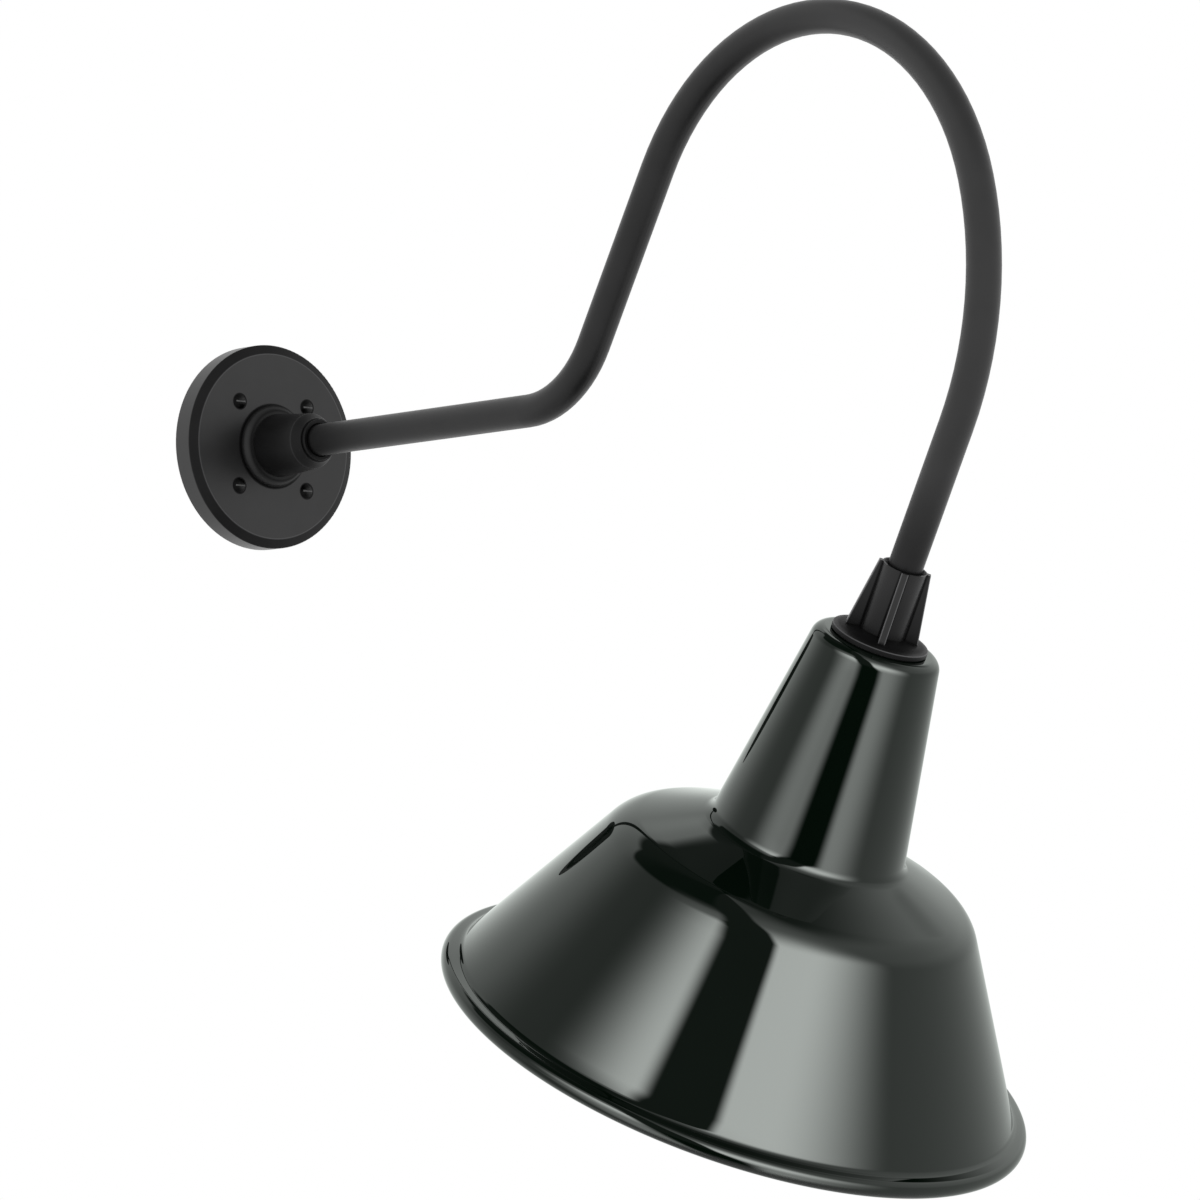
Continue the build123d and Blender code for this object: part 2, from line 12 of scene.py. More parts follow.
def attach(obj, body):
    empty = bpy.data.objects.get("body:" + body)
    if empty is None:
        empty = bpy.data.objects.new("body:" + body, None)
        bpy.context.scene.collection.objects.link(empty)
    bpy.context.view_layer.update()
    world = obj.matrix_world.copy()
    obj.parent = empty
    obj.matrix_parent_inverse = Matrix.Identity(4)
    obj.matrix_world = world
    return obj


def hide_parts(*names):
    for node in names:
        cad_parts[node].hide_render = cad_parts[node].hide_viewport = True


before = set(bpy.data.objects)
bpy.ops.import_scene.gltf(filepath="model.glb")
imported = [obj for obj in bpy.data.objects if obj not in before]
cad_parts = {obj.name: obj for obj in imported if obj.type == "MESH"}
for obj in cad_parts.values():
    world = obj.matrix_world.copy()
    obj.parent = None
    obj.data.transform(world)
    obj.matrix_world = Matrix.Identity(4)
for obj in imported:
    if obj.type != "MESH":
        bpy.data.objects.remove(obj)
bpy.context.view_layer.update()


# Canopy
# The plate on the wall: an aluminium casting with a long hub, turned on its face and edge and
# powder coated satin black.  Its rim lies on the wall, and four screws hold it to the wall box.
class Signal:
    """A socket of a shader tree.  Arithmetic with signals and numbers adds Math nodes to the tree."""

    def __init__(self, tree, socket=None):
        self.tree = tree
        self.socket = socket

    def node(self, kind, settings=None, inputs=None, output=0):
        """Adds a node of a kind: its settings come first, then its sockets' values or links."""
        made = self.tree.nodes.new("ShaderNode" + kind)
        for name, value in (settings or {}).items():
            setattr(made, name, value)
        for name, value in (inputs or {}).items():
            if isinstance(value, Signal):
                value.into(made.inputs[name])
            else:
                made.inputs[name].default_value = value
        return Signal(self.tree, made.outputs[output])

    def into(self, socket):
        """Links this signal to a socket."""
        self.tree.links.new(self.socket, socket)

    def math(self, operation, *values):
        """A Math node on one to three values."""
        return self.node("Math", {"operation": operation}, dict(enumerate(values)))

    def __add__(self, other):
        return self.math("ADD", self, other)

    def __sub__(self, other):
        return self.math("SUBTRACT", self, other)

    def __rsub__(self, other):
        return self.math("SUBTRACT", other, self)

    def __mul__(self, other):
        return self.math("MULTIPLY", self, other)

    def __neg__(self):
        return self.math("MULTIPLY", self, -1.0)

    def __abs__(self):
        return self.math("ABSOLUTE", self)

    __radd__ = __add__
    __rmul__ = __mul__

    def larger(self, other):
        """The larger of two values."""
        return self.math("MAXIMUM", self, other)

    def smaller(self, other):
        """The smaller of two values."""
        return self.math("MINIMUM", self, other)

    def hypot(self, other):
        """The distance that two distances square to each other make."""
        return self.math("SQRT", self * self + other * other)

    def rise(self, low, high):
        """Nought below low, one above high and a smooth rise between."""
        limits = {"Value": self, "From Min": low, "From Max": high}
        return self.node("MapRange", {"interpolation_type": "SMOOTHSTEP"}, limits)

    def fall(self, low, high):
        """One below low, nought above high and a smooth fall between."""
        return 1 - self.rise(low, high)

    def near(self, middle, reach):
        """One within two fifths of a reach from a middle value, and a smooth fall to nought at it."""
        return abs(self - middle).fall(0.4 * reach, reach)

    def towards(self, direction):
        """The dot product of a vector signal and a fixed direction."""
        inputs = {0: self, 1: tuple(direction)}
        return self.node("VectorMath", {"operation": "DOT_PRODUCT"}, inputs, "Value")

    def apart(self, point):
        """The distance of a place from a fixed point."""
        return self.node("VectorMath", {"operation": "DISTANCE"}, {0: self, 1: point}, "Value")

    def mix(self, first, second):
        """Two colours mixed by this share, all first at nought.  A plain colour is three numbers."""
        ends = [end if isinstance(end, Signal) else (*end, 1.0) for end in (first, second)]
        return self.node("Mix", {"data_type": "RGBA"}, {0: self, 6: ends[0], 7: ends[1]}, 2)

    def noise(self, size, detail=2.0, roughness=0.5):
        """Noise from nought to one at this place, whose lumps measure about a size."""
        inputs = {"Vector": self, "Scale": 1 / size, "Detail": detail, "Roughness": roughness}
        return self.node("TexNoise", None, inputs)

    def bump(self, depth):
        """A normal from this height of nought to one, which stands for a depth."""
        return self.node("Bump", None, {"Height": self, "Distance": depth}, "Normal")


def finish(name, **fixed):
    """A material, the place on its surface as a signal, and its shader's sockets with fixed values."""
    made = bpy.data.materials.new(name)
    made.use_nodes = True
    shader = made.node_tree.nodes["Principled BSDF"].inputs
    for socket, value in fixed.items():
        shader[socket.replace("_", " ")].default_value = value
    return made, Signal(made.node_tree).node("TexCoord", output="Object"), shader


coat_dark = (0.0060, 0.0060, 0.0062)
coat_light = (0.0085, 0.0085, 0.0088)
# The lighter colour below paints highlights on edges.
coat_highlight_colour = (0.115, 0.115, 0.118)
coat_cloud = 0.030
coat_grain = 0.0009
coat_grain_depth = 0.000015
rough_by_cloud = 0.08
rough_by_grain = 0.10
# The coat is made rougher where painted shading darkens it.
rough_where_painted_shading = 0.25


def powder_coat(name, rough, grain, painted_shading, painted_highlight=None):
    """Satin black powder coat: fine lumps in its skin, and a gloss that clouds a little over the piece.

    Two functions of the place give shares from nought to one. The first is painted shading, which makes
    the coat metallic over its near-black colour and rougher, so it renders darker. The second is a
    painted highlight, a lighter colour on an edge.
    """
    made, place, shader = finish(name)
    lumps = place.noise(grain, 3.0, 0.6)
    cloud = place.noise(coat_cloud, 3.0)
    shading_share = painted_shading(place)
    rough = rough + rough_by_cloud * (cloud - 0.5) + rough_by_grain * (lumps - 0.5)
    rough = rough + rough_where_painted_shading * shading_share.rise(0.5, 0.9)
    colour = cloud.rise(0.35, 0.65).mix(coat_dark, coat_light)
    if painted_highlight:
        colour = painted_highlight(place).mix(colour, coat_highlight_colour)
    colour.into(shader["Base Color"])
    rough.into(shader["Roughness"])
    # Painted shading: where the coat is metallic over its near-black colour, it reflects less and renders
    # darker.
    shading_share.into(shader["Metallic"])
    lumps.bump(coat_grain_depth).into(shader["Normal"])
    return made


def dress(node, material):
    """Gives a carried node its finish."""
    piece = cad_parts[node]
    for place in piece.material_slots:
        place.material = material
    if not piece.material_slots:
        piece.data.materials.append(material)


rightward = (1, 0, 0)
wallward = (0, 1, 0)
upward = (0, 0, 1)
canopy_side = 0.0159
canopy_depth = 0.0190
canopy_face_radius = 0.0692
base_ring_radius = 0.0306
base_ring_slope = (0.0258, 0.0290)
base_ring_top = canopy_depth + 0.0074
hub_radius = 0.0236
hub_reach = 0.0714
hub_bevel = 0.0014
hub_land_radius = 0.0195
hub_front = hub_reach + 0.0016
hub_core_end = 0.0465
outside_hub_core = 0.0210
outside_hub_bore = 0.0165
hub_taper_end = 0.0611
hub_packed = (
    (hub_radius, base_ring_top),
    (hub_radius, hub_taper_end),
    (hub_radius, hub_reach - hub_bevel),
    (hub_radius - hub_bevel, hub_reach),
    (hub_land_radius, hub_reach),
    (hub_land_radius, hub_front),
)
hub_drawn = (
    (hub_radius, base_ring_top),
    (0.0209, hub_taper_end),
    (0.0205, 0.0660),
    (0.0188, 0.0684),
    (0.0168, 0.0712),
    (0.0163, hub_front),
)
screw_circle_radius = 0.04445
screw_place = screw_circle_radius * np.sqrt(0.5)
screw_head_radius = 0.0055
blur = 0.0002
# Shares of painted shading on the canopy, and of painted highlights on its edges.
bevel_shading = 0.72
ring_root_shading = 0.85
ring_shading = 0.30
ring_slope_shading = 0.55
hub_shading = 0.42
hub_chamfer_above = (0.0657, 0.0664)
hub_chamfer_shading = 0.27
hub_right_shading = 0.12
hub_right_reach = 0.012
screw_seat_shading = 0.80
canopy_most_shading = 0.95
face_highlight = 0.30
hub_highlight = 0.12
hub_highlight_height = 0.0658
hub_highlight_outside = (0.0190, 0.0196)


def canopy_parts(place):
    """The distance of a place from the canopy's axis, and its height out of the wall."""
    radius = place.towards(rightward).hypot(place.towards(upward))
    return radius, -place.towards(wallward)


def from_screw(place):
    """The distance of a place from the axis of the nearest canopy screw."""
    sideways = abs(place.towards(rightward)) - screw_place
    upwards = abs(place.towards(upward)) - screw_place
    return sideways.hypot(upwards)


def canopy_painted_shading(place):
    """Painted shading on the bevel round the face, the roots of the ring, hub and screws, and the hub
    with its end, more on the right of its chamfer.
    """
    radius, height = canopy_parts(place)
    bevel = radius.rise(canopy_face_radius - blur, canopy_face_radius + 2 * blur)
    bevel = bevel * height.rise(canopy_side - 2 * blur, canopy_side + blur)
    root = radius.near(base_ring_radius, 10 * blur)
    root = root * height.fall(canopy_depth, canopy_depth + 15 * blur)
    on_ring = height.rise(canopy_depth, canopy_depth + 5 * blur)
    on_ring = on_ring * radius.fall(base_ring_radius - 2 * blur, base_ring_radius + blur)
    ring = on_ring * (ring_shading + ring_slope_shading * radius.fall(*base_ring_slope))
    on_hub = height.rise(base_ring_top - 3 * blur, base_ring_top + 2 * blur)
    right = place.towards(rightward).rise(-hub_right_reach, hub_right_reach)
    chamfer = height.rise(*hub_chamfer_above) * (hub_chamfer_shading + hub_right_shading * right)
    hub = on_hub * (hub_shading + chamfer)
    seat = from_screw(place).near(screw_head_radius + blur, 5 * blur)
    seat = seat * height.near(canopy_depth, 3 * blur)
    ring_or_hub = (ring * (1 - on_hub) + hub).larger(ring_root_shading * root)
    return (ring_or_hub + bevel_shading * bevel + screw_seat_shading * seat).smaller(canopy_most_shading)


def canopy_painted_highlight(place):
    """A painted highlight on the edge of the canopy's face, and on the edge where the hub's chamfer starts.
    """
    radius, height = canopy_parts(place)
    face = radius.near(canopy_face_radius, 3.5 * blur)
    face = face * height.rise(canopy_depth - 3 * blur, canopy_depth)
    hub = height.near(hub_highlight_height, 4 * blur) * radius.rise(*hub_highlight_outside)
    return face_highlight * face + hub_highlight * hub


def drawn_in_hub():
    """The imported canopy's corners and triangles, merged, with its hub drawn in towards its front.

    The height less the radius says how far along the hub's outline a corner lies.  A corner on the
    hub's outside moves to the same place along the drawn outline, straight between its own corners.
    The hub is cored behind the tube and bored for it in front, so its outside starts at two radii.
    """
    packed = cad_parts["canopy"].data
    corners = np.empty(len(packed.vertices) * 3, np.float32)
    packed.vertices.foreach_get("co", corners)
    triangles = np.empty(len(packed.loops), np.int32)
    packed.loops.foreach_get("vertex_index", triangles)
    points, merged = np.unique(np.round(corners.reshape(-1, 3), 6), axis=0, return_inverse=True)
    faces = merged.ravel()[triangles].reshape(-1, 3)
    faces = faces[(faces != np.roll(faces, 1, axis=1)).all(axis=1)]
    radius = np.hypot(points[:, 0], points[:, 2])
    height = -points[:, 1]
    along = height - radius
    packed_along = [corner[1] - corner[0] for corner in hub_packed]
    drawn_radius, drawn_height = (np.interp(along, packed_along, values) for values in zip(*hub_drawn))
    outside = radius > np.where(height < hub_core_end, outside_hub_core, outside_hub_bore)
    moved = outside & (along > packed_along[0] + 0.00001)
    points[moved, ::2] *= (drawn_radius[moved] / radius[moved])[:, None]
    points[moved, 1] = -drawn_height[moved]
    return points, faces


points, faces = drawn_in_hub()
mesh = bpy.data.meshes.new("cast_canopy")
mesh.from_pydata(points.tolist(), [], faces.tolist())
mesh.polygons.foreach_set("use_smooth", np.ones(len(faces), bool))
mesh.set_sharp_from_angle(angle=np.radians(28))
mesh.materials.append(powder_coat("canopy_coat", 0.36, coat_grain, canopy_painted_shading, canopy_painted_highlight))
canopy = bpy.data.objects.new("cast_canopy", mesh)
bpy.context.scene.collection.objects.link(canopy)
canopy.modifiers.new("even_faces", "WEIGHTED_NORMAL").keep_sharp = True
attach(canopy, "root")
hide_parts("canopy")

# Canopy gasket
# A ring of closed-cell foam in the groove of the canopy's rim.  It is pressed on the wall and keeps
# rain off the box.
foam_cell = 0.0006
foam_cell_depth = 0.0002
foam, place, shader = finish("foam", Roughness=0.95)
cells = place.node("TexVoronoi", {"feature": "F1"}, {"Vector": place, "Scale": 1 / foam_cell})
cells.mix((0.05, 0.05, 0.052), (0.02, 0.02, 0.02)).into(shader["Base Color"])
cells.bump(foam_cell_depth).into(shader["Normal"])
dress("canopy_gasket", foam)


# Wiring in the canopy
# Three insulated leads end in tapered wire connectors of grey plastic.  The ground lead starts under
# a green hexagon screw in the canopy.
def insulation(name, colour):
    """Extruded or moulded plastic with faint marks, where the colour is a fifth darker."""
    made, place, shader = finish(name, Roughness=0.35)
    darker = tuple(0.8 * share for share in colour)
    place.noise(0.002).mix(colour, darker).into(shader["Base Color"])
    return made


dress("line_lead", insulation("black_insulation", (0.02, 0.02, 0.02)))
dress("neutral_lead", insulation("white_insulation", (0.8, 0.8, 0.77)))
dress("ground_lead", insulation("green_insulation", (0.03, 0.28, 0.08)))
dress("wire_connectors", insulation("connector_plastic", (0.22, 0.22, 0.24)))
green_steel, place, shader = finish("green_steel")
dye = place.noise(0.0015, 3.0)
dye.mix((0.03, 0.22, 0.07), (0.05, 0.3, 0.1)).into(shader["Base Color"])
(0.3 + 0.2 * dye).into(shader["Roughness"])
dress("ground_screw", green_steel)

# Screws
# Black slotted screws hold the canopy, with painted shading on their heads and a painted
# highlight in their slots, and small black set screws hold the tube in both hubs.
slot_half = 0.00066
slot_floor = canopy_depth + 0.0015
# The colour of the painted highlight in the slots, and shares of painted shading on the heads.
slot_glint = (0.10, 0.10, 0.10)
head_shading = 0.55
head_edge_shading = 0.40
head_edge = (0.0010, 0.0040)


def screw_black(name, painted_light):
    """Oiled black steel.  With painted light, the heads get painted shading, darkest at their rims,
    and the slots a painted highlight.
    """
    made, place, shader = finish(name)
    marks = place.noise(0.0008, 3.0)
    colour = marks.mix((0.005, 0.005, 0.005), (0.008, 0.008, 0.008))
    if painted_light:
        level = abs(abs(place.towards(upward)) - screw_place)
        height = -place.towards(wallward)
        glint = level.fall(0.8 * slot_half, slot_half) * height.rise(slot_floor - blur, slot_floor)
        colour = glint.mix(colour, slot_glint)
        painted_shading = head_shading + head_edge_shading * from_screw(place).rise(*head_edge)
        # The slots' painted highlight and the heads' painted shading both work by making the steel
        # metallic.
        glint.larger(painted_shading).into(shader["Metallic"])
    colour.into(shader["Base Color"])
    (0.34 + 0.12 * marks).into(shader["Roughness"])
    marks.bump(0.00001).into(shader["Normal"])
    return made


dress("canopy_screws", screw_black("painted_light_screw", True))
set_screw_black = screw_black("set_screw", False)
dress("canopy_set_screw", set_screw_black)
dress("fitter_set_screw", set_screw_black)


# Arm
# One steel tube of 23.4 mm, bent in one plane over formers and powder coated with the canopy.  It
# ends in the canopy's hub and, leaning out of the wall, in the fitter.
class Axis:
    """An axis with a place on it, its direction, and two directions square to it."""

    def __init__(self, origin, up, out):
        self.origin = np.asarray(origin, float)
        self.up = np.asarray(up, float)
        self.out = np.asarray(out, float)
        self.across = np.cross(self.up, self.out)

    def points(self, radius, turn, height):
        """Points from arrays of radius, angle in radians and height along the axis."""
        radius, turn, height = np.broadcast_arrays(radius, turn, height)
        flat = (radius * np.cos(turn))[..., None] * self.out
        flat = flat + (radius * np.sin(turn))[..., None] * self.across
        return self.origin + flat + height[..., None] * self.up

    def parts(self, place, turned):
        """A place's two distances across the axis, turned by an angle, and its height along it."""
        angle = np.radians(turned)
        first = np.cos(angle) * self.out + np.sin(angle) * self.across
        second = np.cos(angle) * self.across - np.sin(angle) * self.out
        return [place.towards(way) - float(way @ self.origin) for way in (first, second, self.up)]


shade_tilt = np.radians(28.4)
fitter_mouth = (0.0, -0.6973288, -0.1369825)
drop_axis = Axis(fitter_mouth, (0.0, -np.sin(shade_tilt), np.cos(shade_tilt)), rightward)
arm_grain = 0.0012
# Shares of painted shading on the arm's rising side and near its two ends.
rise_shading = 0.32
rise_shading_reach = (0.52, 0.72)
arm_start_shading = 0.30
arm_start_reach = (0.015, 0.090)
arm_end_shading = 0.50
arm_end_reach = (0.015, 0.075)


def arm_painted_shading(place):
    """Painted shading on the rising side of the arm and at its two ends."""
    rising = rise_shading * (-place.towards(wallward)).fall(*rise_shading_reach)
    start = arm_start_shading * place.apart((0, -hub_reach, 0)).fall(*arm_start_reach)
    end = arm_end_shading * place.apart(fitter_mouth).fall(*arm_end_reach)
    return rising + start + end


dress("arm", powder_coat("arm_coat", 0.40, arm_grain, arm_painted_shading))

# Fitter
# The finned casting between the tube and the shade.  Four ribs stiffen its thin hub, and its disc
# clamps the shade's top.
fitter_body_radius = 0.0153
fitter_mouth_radius = 0.0136
mouth_bevel_foot = -0.0040
fin_turn = 49.5
fin_half = 0.0024
fin_top_radius = 0.0177
fin_foot_radius = 0.0251
fin_height = 0.0488
disc_radius = 0.0330
disc_top = -0.0496
disc_slope = (0.0270, 0.0315)
# Shares of painted shading on the fitter, less on its top and fin faces, and of painted highlights.
fitter_hub_shading = 0.58
fitter_top_bright = 0.24
fitter_top_reach = (-0.040, -0.002)
fin_face_bright = 0.60
crease_shading = 0.40
disc_shading = 0.70
disc_slope_shading = 0.25
fitter_most_shading = 0.96
fin_highlight = 0.70
rim_highlight = 0.80


def fitter_parts(place):
    """Where a place lies on the fitter, as five distances.

    They are along and across the nearest fin, outwards from that fin's sloping face, from the axis,
    and up the axis.
    """
    first, second, height = drop_axis.parts(place, fin_turn)
    along = abs(first).larger(abs(second))
    across = abs(first).smaller(abs(second))
    face = fin_top_radius - height * ((fin_foot_radius - fin_top_radius) / fin_height)
    return along, across, along - face, first.hypot(second), height


def fitter_painted_shading(place):
    """Painted shading on the hub and the fins' flanks, their creases, the disc's top and the mouth round
    the tube, less towards the hub's top and on the fins' faces.
    """
    along, across, outside, radius, height = fitter_parts(place)
    off_disc = height.rise(disc_top + 2 * blur, disc_top + 20 * blur)
    face = outside.rise(-3.5 * blur, -1.5 * blur) * off_disc
    hub = fitter_hub_shading - fitter_top_bright * height.rise(*fitter_top_reach)
    hub = hub * (1 - fin_face_bright * face) * off_disc
    crease_radius = np.sqrt(fitter_body_radius**2 - fin_half**2)
    from_crease = abs(along - crease_radius).larger(abs(across - fin_half))
    crease = crease_shading * from_crease.fall(2.5 * blur, 7 * blur) * off_disc
    disc = (1 - off_disc) * (disc_shading + disc_slope_shading * radius.fall(*disc_slope))
    mouth = radius.fall(fitter_mouth_radius + 2 * blur, fitter_mouth_radius + 5 * blur)
    mouth = mouth * height.rise(mouth_bevel_foot, mouth_bevel_foot + 7.5 * blur)
    return (hub + crease + disc + mouth).smaller(fitter_most_shading)


def fitter_painted_highlight(place):
    """A painted highlight on the fins' outer edges and the disc's top edge."""
    along, across, outside, radius, height = fitter_parts(place)
    from_edge = abs(outside).larger(abs(across - fin_half))
    fins = from_edge.fall(2 * blur, 4.5 * blur) * height.rise(-fin_height, -fin_height + 10 * blur)
    rim = radius.near(disc_radius, 5 * blur) * height.near(disc_top, 3 * blur)
    return fin_highlight * fins + rim_highlight * rim


dress("fitter", powder_coat("fitter_coat", 0.34, coat_grain, fitter_painted_shading, fitter_painted_highlight))


# Shade
# Spun from a disc of 1.2 mm sheet steel over a former, its rim rolled over outwards, and enamelled
# glossy green-black outside and white inside.
def filleted(corners, radii, step):
    """A line through corners, each rounded by an arc of its radius.

    An arc of radius r in a corner of opening angle w leaves its two sides r / tan(w / 2) from the
    corner, and its centre lies r / sin(w / 2) from the corner on the bisector.
    """
    corners = np.asarray(corners, float)
    line = [corners[:1]]
    for before, corner, after, radius in zip(corners, corners[1:], corners[2:], radii):
        back = (before - corner) / np.linalg.norm(before - corner)
        ahead = (after - corner) / np.linalg.norm(after - corner)
        opening = np.arccos(np.clip(back @ ahead, -1, 1))
        bisector = (back + ahead) / np.linalg.norm(back + ahead)
        centre = corner + bisector * radius / np.sin(opening / 2)
        start = corner + back * radius / np.tan(opening / 2) - centre
        end = corner + ahead * radius / np.tan(opening / 2) - centre
        arc_turn = np.pi - opening
        count = max(arc_least_count, int(np.ceil(radius * arc_turn / step)))
        share = np.linspace(0, 1, count + 1)[:, None]
        arc = start * np.sin((1 - share) * arc_turn) + end * np.sin(share * arc_turn)
        line.append(centre + arc / np.sin(arc_turn))
    line.append(corners[-1:])
    return np.concatenate(line)


def spaced(line, step):
    """A line's points with its long straight stretches cut into pieces of about a step."""
    pieces = []
    for start, end in zip(line, line[1:]):
        count = max(1, int(np.ceil(np.linalg.norm(end - start) / step)))
        share = np.arange(count)[:, None] / count
        pieces.append(start + (end - start) * share)
    return np.concatenate(pieces + [line[-1:]])


def thickened(line, thick):
    """A closed outline round a line, half a thickness to each side, with round ends."""
    way = np.gradient(line, axis=0)
    way /= np.linalg.norm(way, axis=1)[:, None]
    left = np.stack([-way[:, 1], way[:, 0]], axis=-1) * thick / 2
    turn = np.radians(np.linspace(0, 180, end_count + 2)[1:-1])[:, None]
    far_end = line[-1] + left[-1] * np.cos(turn) + way[-1] * thick / 2 * np.sin(turn)
    near_end = line[0] - left[0] * np.cos(turn) - way[0] * thick / 2 * np.sin(turn)
    return np.concatenate([line + left, far_end, (line - left)[::-1], near_end])


def skin(name, grid, closed, material_of_row=None):
    """A mesh piece from a grid of points, rows by columns.

    Columns always close on themselves.  closed says whether the rows do too, as round a closed wall.
    material_of_row gives each row of faces its material's number.
    """
    rows, columns = grid.shape[:2]
    row = np.arange(rows if closed else rows - 1)[:, None]
    column = np.arange(columns)[None, :]
    next_row = (row + 1) % rows
    next_column = (column + 1) % columns
    corners = [
        row * columns + column,
        row * columns + next_column,
        next_row * columns + next_column,
        next_row * columns + column,
    ]
    faces = np.stack(corners, axis=-1).reshape(-1, 4)
    mesh = bpy.data.meshes.new(name)
    mesh.vertices.add(rows * columns)
    mesh.vertices.foreach_set("co", grid.astype(np.float32).ravel())
    mesh.loops.add(faces.size)
    mesh.loops.foreach_set("vertex_index", faces.astype(np.int32).ravel())
    mesh.polygons.add(len(faces))
    mesh.polygons.foreach_set("loop_start", np.arange(0, faces.size, 4, dtype=np.int32))
    mesh.polygons.foreach_set("use_smooth", np.ones(len(faces), bool))
    if material_of_row is not None:
        number = np.repeat(np.asarray(material_of_row, np.int32), columns)
        mesh.polygons.foreach_set("material_index", number)
    mesh.update(calc_edges=True)
    mesh.validate()
    piece = bpy.data.objects.new(name, mesh)
    bpy.context.scene.collection.objects.link(piece)
    return piece


sheet = 0.0012
shade_hole = 0.0213
shade_top = -0.0536
neck_top_radius = 0.0433
neck_top_round = 0.0082
neck_base_radius = 0.0674
neck_height = 0.1445
neck_base_round = 0.0095
shoulder_radius = 0.1233
shoulder_drop = 0.0224
shoulder_round = 0.0362
rim_radius = 0.1947
rim_drop = 0.2914
rim_cove = 0.0064
rim_flange = 0.0067
rim_slope = 9.5
bead_radius = 0.0061
bead_open_angle = 58.0
spun_wave = 0.00004
spun_waves_round = (3, 5)
spun_waves_along = (31, -47)
shade_columns = 384
straight_step = 0.0080
arc_step = 0.0012
arc_least_count = 6
roll_count = 36
end_count = 5


def shade_wall():
    """The middle line of the shade's sheet, from its hole to the roll's free end, as radius and height.

    Straight runs meet in arcs, down to a short flange at the rim.  The roll is a circle that the
    flange touches, followed outwards, down and back in beneath it, less its opening.
    """
    half = sheet / 2
    neck_foot = shade_top - neck_height
    slope = np.radians(rim_slope)
    rim = np.array([rim_radius, shade_top - rim_drop])
    flange_end = rim + rim_flange * np.array([np.cos(slope), -np.sin(slope)])
    corners = [
        (shade_hole, shade_top - half),
        (neck_top_radius - half, shade_top - half),
        (neck_base_radius - half, neck_foot - half),
        (shoulder_radius, neck_foot - shoulder_drop),
        rim,
        flange_end,
    ]
    radii = [neck_top_round - half, neck_base_round + half, shoulder_round - half, rim_cove + half]
    wall = spaced(filleted(corners, radii, arc_step), straight_step)
    curl = bead_radius - half - spun_wave
    centre = flange_end - curl * np.array([np.sin(slope), np.cos(slope)])
    rolled = np.radians(np.linspace(0, 360 - bead_open_angle, roll_count + 1)[1:])
    turn = np.pi / 2 - slope - rolled
    roll = centre + curl * np.stack([np.cos(turn), np.sin(turn)], axis=-1)
    return np.concatenate([wall, roll])


def spun_skin(outline):
    """An outline carried round the drop axis, with faint waves from the spinning, as a grid of points.

    The radius is less by half the wave's height times the sum of three and a product of two sines,
    each of a multiple of the turn plus a multiple of the height.  So no wave stands out of the
    outline.
    """
    turn = np.linspace(0, 2 * np.pi, shade_columns, endpoint=False)
    radius, height = outline[:, :1], outline[:, 1:]
    waves = 1.0
    for times, along in zip(spun_waves_round, spun_waves_along):
        waves = waves * np.sin(times * turn + along * height)
    return drop_axis.points(radius - spun_wave * (3 + waves) / 2, turn, height)


wall = shade_wall()
outline = thickened(wall, sheet)
row = np.arange(len(outline))
inside = (row > len(wall) + end_count + roll_count) & (row < 2 * len(wall) + end_count)
shade = skin("enamelled_shade", spun_skin(outline)[:, ::-1], True, inside)

enamel, place, shader = finish(
    "green_black_enamel", Specular_IOR_Level=0.0, Coat_Weight=1.0, Coat_Roughness=0.0, Coat_IOR=1.5
)
haze = place.noise(0.030, 3.0)
haze.mix((0.0012, 0.0034, 0.0018), (0.0020, 0.0048, 0.0028)).into(shader["Base Color"])
(0.35 + 0.1 * haze).into(shader["Roughness"])
white_enamel, place, shader = finish("white_enamel", Roughness=0.12)
place.noise(0.040, 3.0).mix((0.82, 0.82, 0.79), (0.88, 0.88, 0.86)).into(shader["Base Color"])
place.noise(0.012, 1.0).bump(0.00006).into(shader["Normal"])
shade.data.materials.append(enamel)
shade.data.materials.append(white_enamel)
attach(shade, "root")
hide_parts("shade")


# Shade fixings
# A rubber ring seals the shade's hole under the fitter, and a zinc plated ring nut on the fitter's
# spigot clamps it from inside.
def bright_metal(name, dark, light, rough):
    """Plated or plain metal with faint drawn marks."""
    made, place, shader = finish(name, Metallic=1.0)
    marks = place.noise(0.0012, 4.0, 0.7)
    marks.mix(dark, light).into(shader["Base Color"])
    (rough + 0.2 * marks).into(shader["Roughness"])
    marks.bump(0.00001).into(shader["Normal"])
    return made


rubber, place, shader = finish("gasket_rubber", Roughness=0.7)
place.noise(0.002).mix((0.006, 0.006, 0.006), (0.010, 0.010, 0.010)).into(shader["Base Color"])
dress("shade_gasket", rubber)
zinc = bright_metal("zinc_plate", (0.50, 0.51, 0.53), (0.66, 0.67, 0.68), 0.22)
dress("shade_ring_nut", zinc)

# Lampholder
# A glazed ceramic body screwed up to the fitter's spigot.  Its drawn aluminium shell has a rolled
# thread for the lamp, and brass pieces riveted through its web carry the current.
shell_sheet = 0.0004
shell_radius = 0.01355
shell_collar = 0.0117
shell_floor_hole = 0.0062
shell_top = -0.0846
shell_shoulder = -0.0920
shell_foot = -0.1112
shell_round = 0.0009
shell_step = 0.0004
shell_round_step = 0.0003
shell_columns = 120
thread_pitch = 0.00363
thread_wave = 0.00025
thread_start = shell_shoulder - 0.0012
thread_start_fade = 0.0020
thread_end_fade = 0.0012


